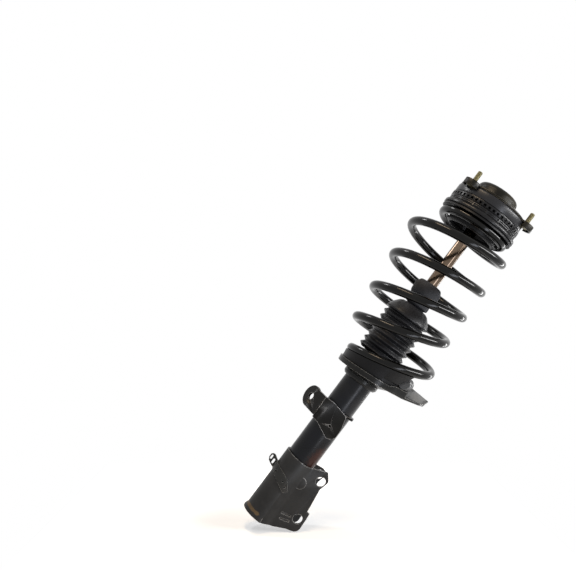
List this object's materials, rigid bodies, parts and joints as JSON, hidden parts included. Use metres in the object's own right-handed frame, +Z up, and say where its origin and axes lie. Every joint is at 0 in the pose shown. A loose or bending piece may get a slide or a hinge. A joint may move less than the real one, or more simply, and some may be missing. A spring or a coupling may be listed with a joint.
{
  "type": "suspension strut assembly",
  "caption": "Car suspension strut with damper, side-load coil spring, spring seats, bellows boot, steering bearing, studded top mount and a knuckle bracket with two bolt holes.",
  "frame": {"origin": "centre of the circle through the tower studs, on the mount plate's top face that meets the car body", "axes": "+Z up along the piston rod's axis; +X from the tube towards the knuckle, along the bracket's ears; +Y along the knuckle bolts"},
  "size_m": [0.209, 0.1714, 0.669],
  "materials": {
    "mount_steel": "dark olive-black phosphate coat, slightly mottled",
    "zinc_steel": "yellow zinc plate",
    "black_rubber": "moulded black rubber",
    "inner_steel": "bare machined steel",
    "cover_plastic": "smooth moulded charcoal nylon",
    "bearing_steel": "ground bearing steel",
    "rod_chrome": "hard chrome, polished",
    "sintered_iron": "sintered iron",
    "piston_band": "filled fluoropolymer",
    "cage_nylon": "natural nylon",
    "seat_plastic": "moulded black nylon, satin",
    "spring_paint": "gloss black powder coat",
    "foam_grey": "dark grey microcellular foam",
    "boot_rubber": "satin black thermoplastic rubber",
    "tube_paint": "semi-gloss blue-black paint",
    "bushing_bronze": "sintered bronze",
    "seat_paint": "satin black dip coat",
    "bracket_paint": "satin charcoal dip coat",
    "hose_bracket_steel": "satin charcoal dip coat over steel strip"
  },
  "bodies": {
    "top_mount": {"mount_plate": "mount_steel", "tower_studs": "zinc_steel", "mount_retainer": "mount_steel", "mount_rubber": "black_rubber", "mount_core": "inner_steel", "rebound_washer": "zinc_steel", "rod_nut": "zinc_steel", "bump_cup": "mount_steel", "bearing_cover": "cover_plastic", "bearing_upper_race": "bearing_steel", "piston_rod": "rod_chrome", "piston": "sintered_iron", "piston_ring": "piston_band", "valve_discs": "inner_steel", "piston_nut": "inner_steel", "rebound_stop": "black_rubber"},
    "ball_cage": {"bearing_cage": "cage_nylon", "bearing_balls": "bearing_steel"},
    "upper_seat": {"bearing_lower_race": "bearing_steel", "upper_spring_seat": "seat_plastic", "upper_spring_pad": "black_rubber", "coil_spring": "spring_paint"},
    "bump_sleeve": {"bump_stop": "foam_grey", "dust_boot": "boot_rubber"},
    "strut_body": {"strut_tube": "tube_paint", "tube_base": "tube_paint", "striker_cap": "zinc_steel", "rod_guide": "sintered_iron", "guide_bushing": "bushing_bronze", "rod_seal": "black_rubber", "pressure_tube": "inner_steel", "foot_valve": "sintered_iron", "lower_spring_seat": "seat_paint", "seat_collar": "seat_paint", "lower_spring_pad": "black_rubber", "link_bracket": "bracket_paint", "knuckle_bracket": "bracket_paint", "bracket_brace": "bracket_paint", "hose_bracket": "hose_bracket_steel"}
  },
  "joints": [
    {"name": "steer", "type": "hinge", "parent": "top_mount", "child": "upper_seat", "pos_m": [0, 0, -0.01], "axis": [0, 0, 1], "continuous": true},
    {"name": "cage_roll", "type": "hinge", "parent": "top_mount", "child": "ball_cage", "pos_m": [0, 0, -0.01], "axis": [0, 0, 1], "continuous": true},
    {"name": "damper_stroke", "type": "slide", "parent": "upper_seat", "child": "strut_body", "axis": [0, 0, 1], "range_m": [0, 0.145], "stiffness_N_per_m": 26000, "springref_m": -0.05, "deforming": ["coil_spring"]},
    {"name": "bump_stop_slide", "type": "slide", "parent": "top_mount", "child": "bump_sleeve", "axis": [0, 0, 1], "range_m": [0, 0.145]}
  ],
  "couplings": [
    {"joint": "cage_roll", "follows": "steer", "ratio": 0.5},
    {"joint": "bump_stop_slide", "follows": "damper_stroke", "ratio": 1}
  ]
}
